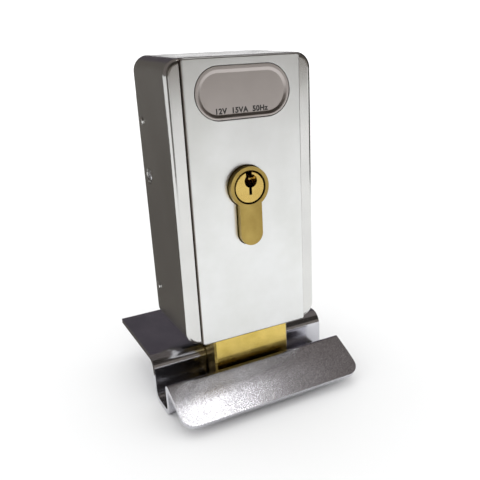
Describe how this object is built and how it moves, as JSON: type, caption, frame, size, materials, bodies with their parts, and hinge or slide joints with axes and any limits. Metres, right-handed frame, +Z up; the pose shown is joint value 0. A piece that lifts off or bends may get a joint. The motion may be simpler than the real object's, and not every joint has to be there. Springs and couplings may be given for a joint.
{
  "type": "electric gate lock with strike plate",
  "caption": "Box-shaped electric gate lock with a key cylinder and a brass drop bolt held in the channel of a folded ground strike plate.",
  "frame": {"origin": "middle of the underside of the strike plate's rear flange, on the ground line", "axes": "+Z up along the bolt, +Y to the rear (from the key side to the gate leaf), +X to the right seen from the key side"},
  "size_m": [0.086, 0.0839, 0.1462],
  "materials": {
    "satin_steel": "satin stainless",
    "cover_steel": "fine satin stainless",
    "badge_steel": "matt grey plate",
    "zinc_steel": "galvanised, fine spangle",
    "plated_steel": "zinc plated",
    "dark_steel": "dark oiled steel",
    "spring_steel": "drawn wire",
    "bolt_brass": "milled brass",
    "body_brass": "dull brushed brass",
    "plug_brass": "turned brass",
    "copper": "enamelled copper wire",
    "nylon": "natural nylon",
    "black_plastic": "moulded",
    "rubber": "matt"
  },
  "bodies": {
    "strike": {"strike_plate": "zinc_steel"},
    "lock": {"case_shell": "satin_steel", "front_cover": "cover_steel", "badge_plate": "badge_steel", "chassis": "plated_steel", "bolt_guide": "nylon", "side_screw_left": "plated_steel", "side_screw_right": "plated_steel", "case_rivet_left_lower": "plated_steel", "case_rivet_left_upper": "plated_steel", "case_rivet_right_lower": "plated_steel", "case_rivet_right_upper": "plated_steel", "guide_rod_left": "dark_steel", "guide_rod_right": "dark_steel", "bolt_spring_left": "spring_steel", "bolt_spring_right": "spring_steel", "coil_yoke": "dark_steel", "coil_bobbin": "black_plastic", "coil_winding": "copper", "coil_core": "plated_steel", "yoke_screw_1": "plated_steel", "yoke_screw_2": "plated_steel", "cylinder_body": "body_brass", "driver_pin_1": "plug_brass", "driver_pin_2": "plug_brass", "driver_pin_3": "plug_brass", "driver_pin_4": "plug_brass", "driver_pin_5": "plug_brass", "pin_spring_1": "spring_steel", "pin_spring_2": "spring_steel", "pin_spring_3": "spring_steel", "pin_spring_4": "spring_steel", "pin_spring_5": "spring_steel", "cylinder_screw": "plated_steel", "terminal_block": "nylon", "terminal_screw_1": "plated_steel", "terminal_screw_2": "plated_steel", "cable_grommet": "rubber"},
    "bolt": {"bolt": "bolt_brass", "bolt_carriage": "plated_steel", "carriage_screw_1": "plated_steel", "carriage_screw_2": "plated_steel"},
    "plunger": {"plunger": "plated_steel", "plunger_pin": "dark_steel"},
    "key": {"cylinder_plug": "plug_brass", "cylinder_cam": "dark_steel", "circlip": "spring_steel", "key_pin_1": "plug_brass", "key_pin_2": "plug_brass", "key_pin_3": "plug_brass", "key_pin_4": "plug_brass", "key_pin_5": "plug_brass"}
  },
  "joints": [
    {"name": "lock_lift", "type": "slide", "parent": "strike", "child": "lock", "axis": [0, 0, 1], "range_m": [0, 0.04]},
    {"name": "bolt_lift", "type": "slide", "parent": "lock", "child": "bolt", "axis": [0, 0, 1], "range_m": [0, 0.018], "stiffness_N_per_m": 250, "springref_m": -0.012, "deforming": ["bolt_spring_left", "bolt_spring_right"]},
    {"name": "plunger_slide", "type": "slide", "parent": "lock", "child": "plunger", "axis": [0, 0, 1], "range_m": [0, 0.018]},
    {"name": "key_turn", "type": "hinge", "parent": "lock", "child": "key", "pos_m": [-0.0009, -0.01955, 0.077], "axis": [0, 1, 0], "range_deg": [0, 90]}
  ],
  "couplings": [
    {"joint": "plunger_slide", "follows": "bolt_lift", "ratio": 1},
    {"joint": "key_turn", "follows": "bolt_lift", "rad_per_m": 87.26}
  ]
}
